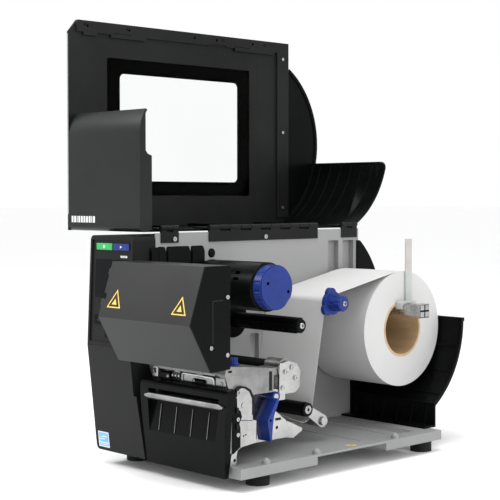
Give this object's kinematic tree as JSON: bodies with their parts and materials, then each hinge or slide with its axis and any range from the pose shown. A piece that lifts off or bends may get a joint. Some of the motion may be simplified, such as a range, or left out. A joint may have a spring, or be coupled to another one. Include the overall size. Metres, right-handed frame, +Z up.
{
  "type": "label printer",
  "caption": "Desk label printer with its side cover swung open, showing label roll, ribbon spindles, print head and front code reader",
  "frame": {"origin": "bottom centre of the box of the whole machine with its cover open", "axes": "+Z up, -Y to the front where labels come out, +X towards the media side"},
  "size_m": [0.3576, 0.589, 0.6225],
  "materials": {
    "pan_paint": "satin",
    "plate_paint": "satin",
    "rubber": "matte",
    "black_plastic": "fine texture",
    "front_plastic": "satin",
    "dark_sheet": "satin",
    "black_metal": "satin",
    "bright_steel": "brushed",
    "cast_alloy": "as cast",
    "zinc_sheet": "satin",
    "pale_plastic": "satin",
    "blue_plastic": "satin",
    "green_cap": "gloss",
    "blue_cap": "gloss",
    "display_face": "gloss",
    "clear_pane": "clear",
    "belt_rubber": "matte",
    "circuit_green": "satin",
    "label_paper": "smooth",
    "core_card": "matte"
  },
  "bodies": {
    "chassis": {"base_pan": "pan_paint", "rubber_feet": "rubber", "centre_plate": "plate_paint", "front_bezel": "black_plastic", "display_window": "display_face", "electronics_cover": "dark_sheet", "rear_panel": "zinc_sheet", "rear_connectors": "black_plastic", "power_supply": "zinc_sheet", "controller_board": "circuit_green", "platen_motor": "zinc_sheet", "drive_belt": "belt_rubber", "ribbon_drives": "zinc_sheet", "front_door": "black_plastic", "tear_bar": "bright_steel", "hanger_arm": "bright_steel", "label_web": "label_paper", "upper_guide_rod": "bright_steel", "damper_shaft": "bright_steel", "mechanism_frame": "bright_steel", "latch_plate": "black_plastic", "pivot_bracket": "bright_steel", "head_pivot_bar": "black_metal", "rear_bucket": "black_plastic", "validator_shell": "dark_sheet", "validator_side_plate": "black_metal", "validator_bracket": "black_metal", "validator_scanner": "black_metal", "hinge_fixed_leaves": "black_metal", "hinge_pins": "bright_steel", "frame_screws": "bright_steel"},
    "media_cover": {"cover_top_shell": "black_plastic", "cover_side_panel": "black_plastic", "window_pane": "clear_pane", "cover_front_panel": "front_plastic", "hinge_moving_leaves": "black_metal", "cover_screws": "bright_steel"},
    "ribbon_takeup": {"takeup_spindle": "black_plastic", "takeup_knob": "blue_plastic"},
    "ribbon_supply": {"supply_spindle": "black_plastic"},
    "platen": {"platen_shaft": "bright_steel", "platen_roller": "rubber"},
    "motor_rotor": {"motor_pulley": "bright_steel"},
    "print_head": {"head_carrier": "cast_alloy", "thermal_head": "cast_alloy", "pressure_knobs": "blue_plastic"},
    "deck_lever": {"head_lever": "blue_plastic"},
    "damper": {"damper_arms": "bright_steel"},
    "damper_roll": {"damper_roller": "black_plastic"},
    "media_roll": {"label_roll": "label_paper", "roll_core": "core_card"},
    "roll_guide": {"hanger_guide": "pale_plastic"},
    "web_guide": {"guide_collar": "blue_plastic"},
    "rocker": {"power_switch": "black_plastic"},
    "green_button_body": {"green_button": "green_cap"},
    "blue_button_body": {"blue_button": "blue_cap"},
    "key_left_body": {"key_left": "black_plastic"},
    "key_right_body": {"key_right": "black_plastic"},
    "key_up_body": {"key_up": "black_plastic"},
    "key_down_body": {"key_down": "black_plastic"}
  },
  "joints": [
    {"name": "cover_hinge", "type": "hinge", "parent": "chassis", "child": "media_cover", "pos_m": [-0.0068, 0.0015, 0.327], "axis": [0, 1, 0], "range_deg": [0, 180]},
    {"name": "head_pivot", "type": "hinge", "parent": "chassis", "child": "print_head", "pos_m": [0.0532, -0.1145, 0.148], "axis": [-1, 0, 0], "range_deg": [0, 5]},
    {"name": "lever_turn", "type": "hinge", "parent": "chassis", "child": "deck_lever", "pos_m": [0.1532, -0.1285, 0.11], "axis": [1, 0, 0], "range_deg": [0, 70]},
    {"name": "platen_spin", "type": "hinge", "parent": "chassis", "child": "platen", "pos_m": [0.0532, -0.1905, 0.106], "axis": [1, 0, 0], "continuous": true},
    {"name": "motor_spin", "type": "hinge", "parent": "chassis", "child": "motor_rotor", "pos_m": [-0.0268, -0.1365, 0.07], "axis": [1, 0, 0], "continuous": true},
    {"name": "takeup_spin", "type": "hinge", "parent": "chassis", "child": "ribbon_takeup", "pos_m": [0.0532, -0.1095, 0.25], "axis": [1, 0, 0], "continuous": true},
    {"name": "supply_spin", "type": "hinge", "parent": "chassis", "child": "ribbon_supply", "pos_m": [0.0532, -0.0675, 0.197], "axis": [1, 0, 0], "continuous": true},
    {"name": "roll_spin", "type": "hinge", "parent": "chassis", "child": "media_roll", "pos_m": [0.0532, 0.1725, 0.175], "axis": [1, 0, 0], "continuous": true},
    {"name": "damper_swing", "type": "hinge", "parent": "chassis", "child": "damper", "pos_m": [0.0532, -0.0015, 0.0585], "axis": [1, 0, 0], "range_deg": [0, 12], "stiffness_Nm_per_rad": 0.4, "springref_deg": -22.92},
    {"name": "damper_roll_spin", "type": "hinge", "parent": "damper", "child": "damper_roll", "pos_m": [0.0532, -0.0335, 0.078], "axis": [1, 0, 0], "continuous": true},
    {"name": "roll_guide_slide", "type": "slide", "parent": "chassis", "child": "roll_guide", "axis": [1, 0, 0], "range_m": [0, 0.011]},
    {"name": "web_guide_slide", "type": "slide", "parent": "chassis", "child": "web_guide", "axis": [1, 0, 0], "range_m": [0, 0.007]},
    {"name": "switch_rock", "type": "hinge", "parent": "chassis", "child": "rocker", "pos_m": [-0.0668, 0.2075, 0.1], "axis": [-1, 0, 0], "range_deg": [0, 16]},
    {"name": "press_green_button", "type": "slide", "parent": "chassis", "child": "green_button_body", "axis": [0, 1, 0], "range_m": [0, 0.0012], "stiffness_N_per_m": 400, "springref_m": -0.001},
    {"name": "press_blue_button", "type": "slide", "parent": "chassis", "child": "blue_button_body", "axis": [0, 1, 0], "range_m": [0, 0.0012], "stiffness_N_per_m": 400, "springref_m": -0.001},
    {"name": "press_key_left", "type": "slide", "parent": "chassis", "child": "key_left_body", "axis": [0, 1, 0], "range_m": [0, 0.0012], "stiffness_N_per_m": 400, "springref_m": -0.001},
    {"name": "press_key_right", "type": "slide", "parent": "chassis", "child": "key_right_body", "axis": [0, 1, 0], "range_m": [0, 0.0012], "stiffness_N_per_m": 400, "springref_m": -0.001},
    {"name": "press_key_up", "type": "slide", "parent": "chassis", "child": "key_up_body", "axis": [0, 1, 0], "range_m": [0, 0.0012], "stiffness_N_per_m": 400, "springref_m": -0.001},
    {"name": "press_key_down", "type": "slide", "parent": "chassis", "child": "key_down_body", "axis": [0, 1, 0], "range_m": [0, 0.0012], "stiffness_N_per_m": 400, "springref_m": -0.001}
  ],
  "couplings": [
    {"joint": "lever_turn", "follows": "head_pivot", "ratio": 14},
    {"joint": "motor_spin", "follows": "platen_spin", "ratio": 1.75}
  ]
}
